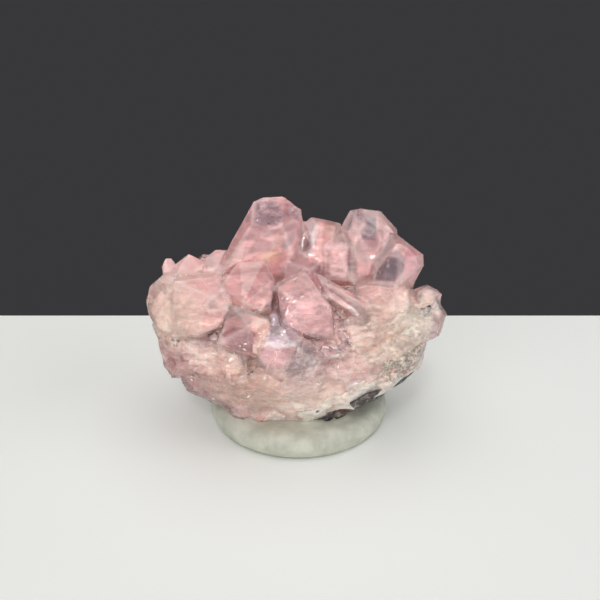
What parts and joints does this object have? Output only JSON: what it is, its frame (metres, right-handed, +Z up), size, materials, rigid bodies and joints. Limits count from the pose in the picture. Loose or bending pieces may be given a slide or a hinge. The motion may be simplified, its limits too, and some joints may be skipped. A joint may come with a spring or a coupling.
{
  "type": "cobaltoan calcite cluster",
  "caption": "Thumbnail cluster of blunt pink calcite crystals on a crust of massive calcite and host rock, standing on a round pat of putty.",
  "frame": {"origin": "centre of the putty pat's flat underside, where the specimen rests on a shelf", "axes": "+Z up, +X along the cluster's width, -Y towards the front, the side the best crystals face"},
  "size_m": [0.0219, 0.0142, 0.0171],
  "materials": {
    "pink_calcite": "translucent pale pink calcite, glassy on the crystal faces and frosted on the broken crust",
    "grey_rock": "dark grey-brown host rock with a rough broken surface, stood in for by matte_plastic",
    "putty": "matte greenish grey mounting putty, pressed by hand"
  },
  "bodies": {
    "root": {"calcite_cluster": "pink_calcite", "host_rock": "grey_rock", "putty_pad": "putty"}
  },
  "joints": []
}
